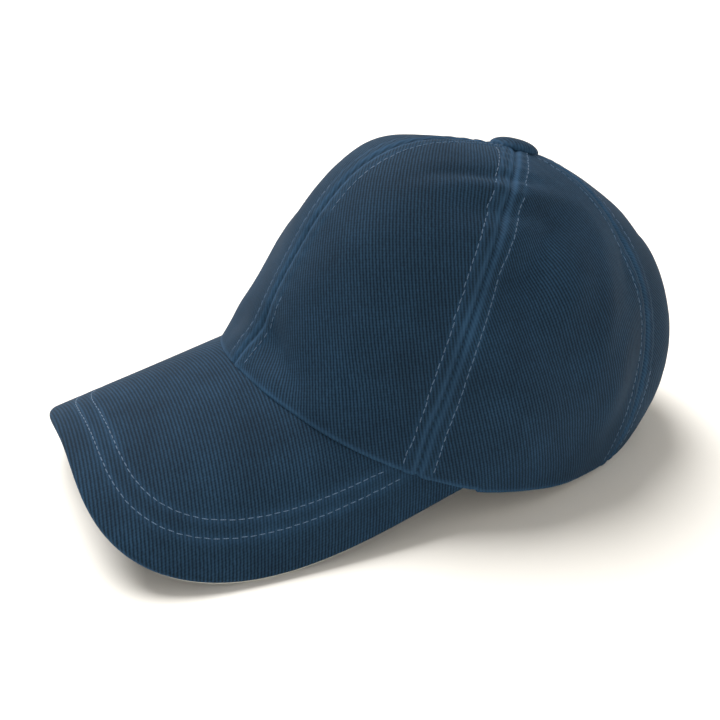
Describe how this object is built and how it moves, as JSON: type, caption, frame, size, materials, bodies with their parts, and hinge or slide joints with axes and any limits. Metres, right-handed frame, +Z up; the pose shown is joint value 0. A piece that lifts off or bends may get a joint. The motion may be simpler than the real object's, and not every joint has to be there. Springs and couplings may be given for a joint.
{
  "type": "baseball cap",
  "caption": "Soft cotton-twill baseball cap with panelled crown, covered button, curved stiff brim and adjustable back strap.",
  "frame": {"origin": "centre of the bounding box in plan, on the surface that the cap lies on", "axes": "+Z up from that surface, -Y towards the brim's tip, +X towards the wearer's left"},
  "size_m": [0.1608, 0.2814, 0.1276],
  "materials": {
    "navy_twill": "washed cotton twill",
    "seam_tape": "cotton tape",
    "buckram": "stiffened open-weave cotton",
    "sweatband_twill": "soft cotton twill",
    "brim_board": "matt polyethylene board",
    "plated_steel": "nickel-plated sheet",
    "antique_brass": "antique brass plate"
  },
  "bodies": {
    "cap": {"front_panel_left": "navy_twill", "side_panel_left": "navy_twill", "back_panel_left": "navy_twill", "front_panel_right": "navy_twill", "side_panel_right": "navy_twill", "back_panel_right": "navy_twill", "front_centre_tape": "seam_tape", "side_seam_tape_left": "seam_tape", "rear_seam_tape_left": "seam_tape", "back_centre_tape": "seam_tape", "side_seam_tape_right": "seam_tape", "rear_seam_tape_right": "seam_tape", "front_backing_left": "buckram", "front_backing_right": "buckram", "opening_tape": "seam_tape", "sweatband": "sweatband_twill", "brim_top_cloth": "navy_twill", "brim_board": "brim_board", "brim_under_cloth": "navy_twill", "button_cover": "navy_twill", "button_shell": "plated_steel", "button_rivet": "plated_steel", "button_washer": "plated_steel", "buckle_frame": "antique_brass", "lever_pin": "antique_brass", "buckle_tab": "navy_twill"},
    "strap": {"strap": "navy_twill"},
    "lever": {"buckle_lever": "antique_brass"}
  },
  "joints": [
    {"name": "strap_adjust", "type": "hinge", "parent": "cap", "child": "strap", "pos_m": [0, 0.06929, 0.02562], "axis": [0, -0.2019, -0.9794], "range_deg": [-15, 18]},
    {"name": "lever_hinge", "type": "hinge", "parent": "cap", "child": "lever", "pos_m": [0.02747, 0.1289, 0.01334], "axis": [0, -0.2019, -0.9794], "range_deg": [0, 100]}
  ]
}
